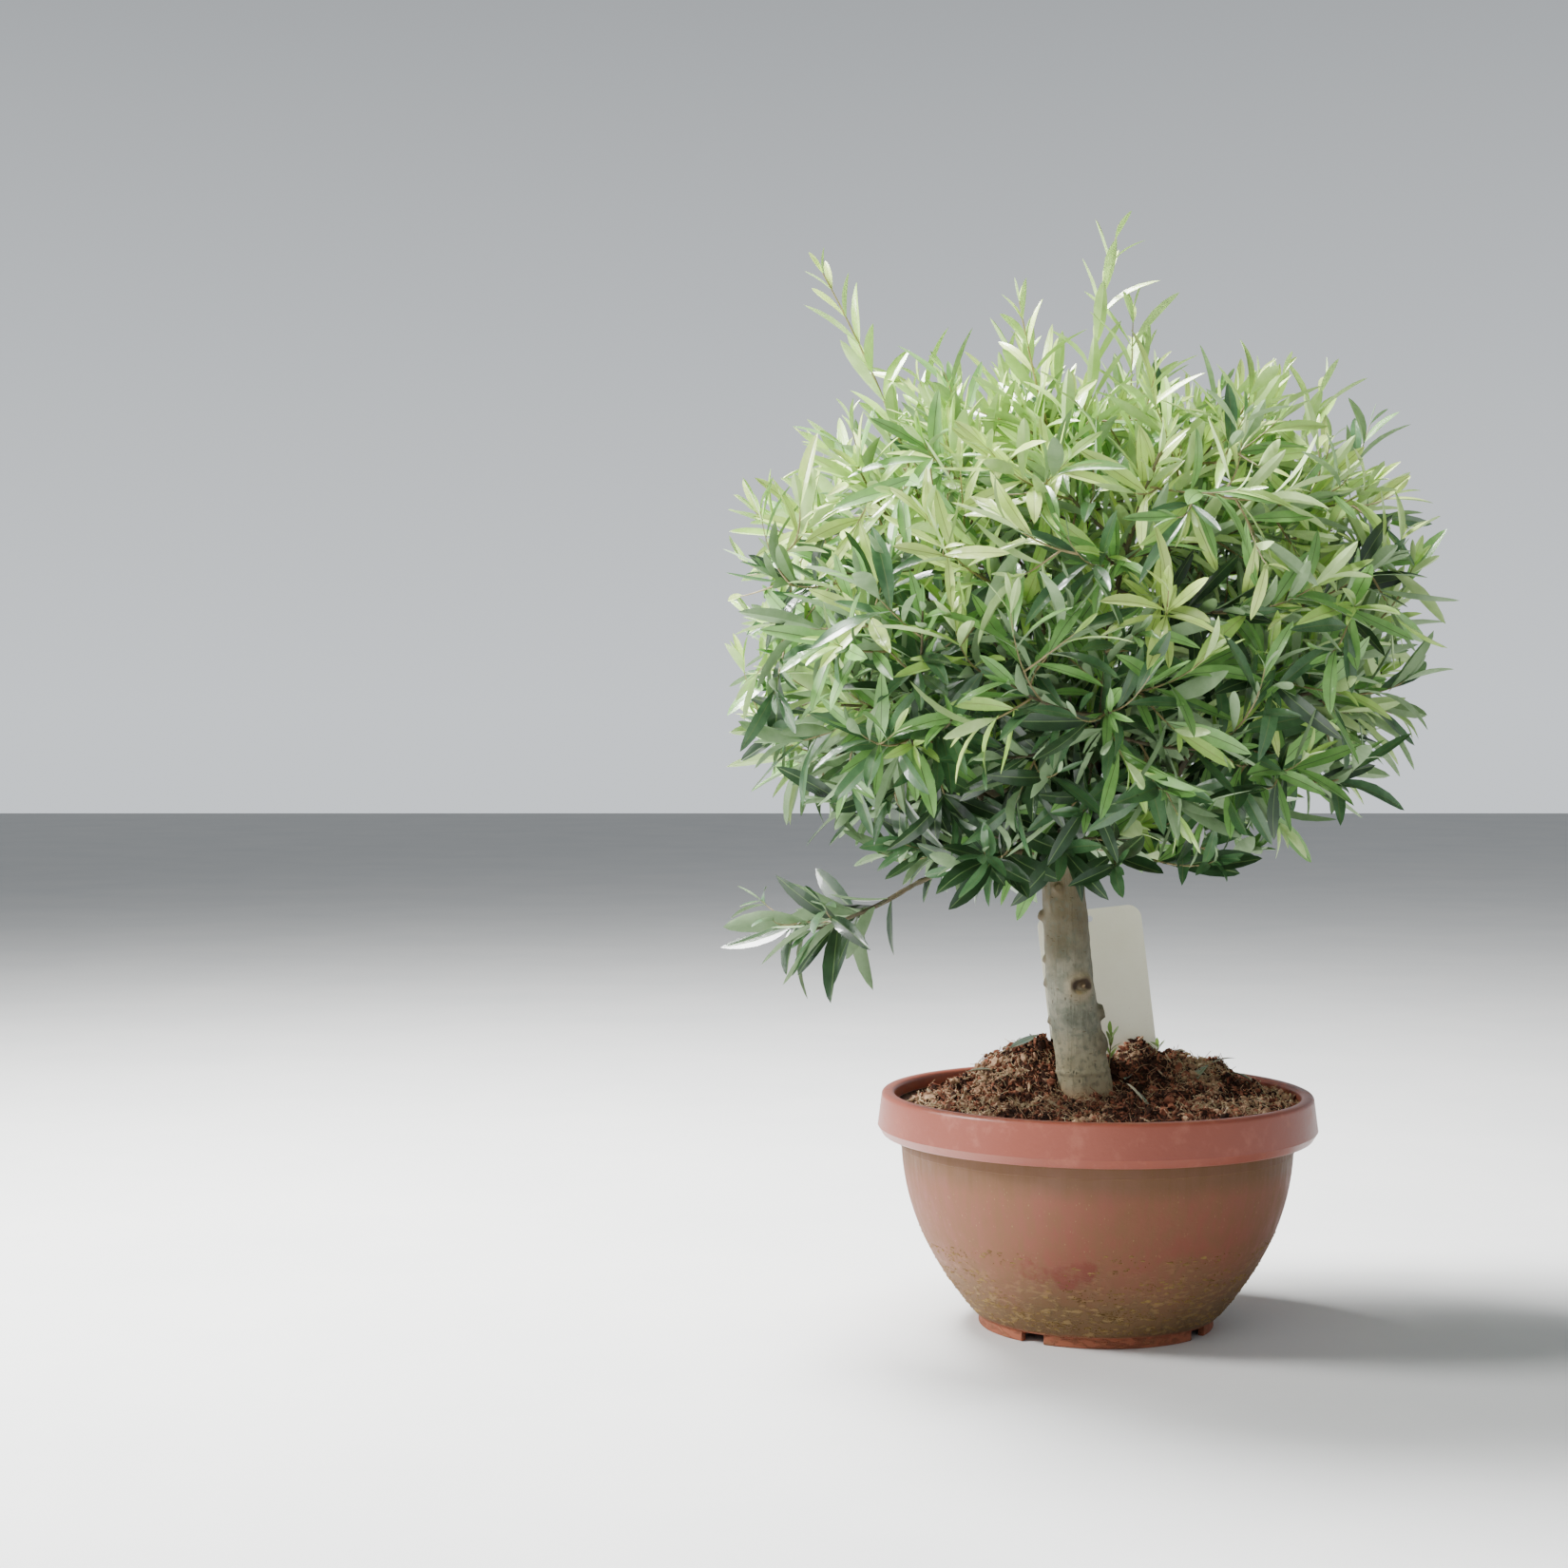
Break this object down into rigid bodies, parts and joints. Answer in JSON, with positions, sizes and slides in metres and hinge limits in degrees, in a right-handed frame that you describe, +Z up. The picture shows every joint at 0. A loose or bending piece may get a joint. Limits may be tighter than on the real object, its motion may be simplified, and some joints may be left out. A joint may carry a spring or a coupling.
{
  "type": "potted olive bonsai tree",
  "caption": "Small olive tree with a bare leaning trunk and a full leafy round top, standing in a wide terracotta-coloured bowl pot with heaped soil and a plain hang label.",
  "frame": {"origin": "centre of the pot's flat underside, on the surface that it stands on", "axes": "+Z is up, +X is to the right of the front view and +Y goes away from it"},
  "size_m": [0.6433, 0.6019, 1.0235],
  "materials": {
    "terracotta_plastic": "satin",
    "potting_soil": "matte",
    "olive_bark": "matte",
    "olive_leaf": "satin",
    "label_card": "satin"
  },
  "bodies": {
    "root": {"pot": "terracotta_plastic", "soil": "potting_soil", "label_card": "label_card", "trunk": "olive_bark", "bough_upper_left": "olive_bark", "bough_upper_front": "olive_bark", "bough_upper_right": "olive_bark", "bough_upper_back": "olive_bark", "bough_top": "olive_bark", "bough_lower_front_left": "olive_bark", "bough_lower_front": "olive_bark", "bough_lower_front_right": "olive_bark", "bough_lower_back_right": "olive_bark", "bough_lower_back": "olive_bark", "bough_lower_back_left": "olive_bark", "bough_low_spray": "olive_bark", "foliage_upper_left": "olive_leaf", "foliage_upper_front": "olive_leaf", "foliage_upper_right": "olive_leaf", "foliage_upper_back": "olive_leaf", "foliage_top": "olive_leaf", "foliage_lower_front_left": "olive_leaf", "foliage_lower_front": "olive_leaf", "foliage_lower_front_right": "olive_leaf", "foliage_lower_back_right": "olive_leaf", "foliage_lower_back": "olive_leaf", "foliage_lower_back_left": "olive_leaf", "foliage_low_spray": "olive_leaf", "foliage_sprout_front": "olive_leaf", "foliage_sprout_right": "olive_leaf", "foliage_sprout_back": "olive_leaf", "foliage_sprout_left": "olive_leaf"}
  },
  "joints": []
}
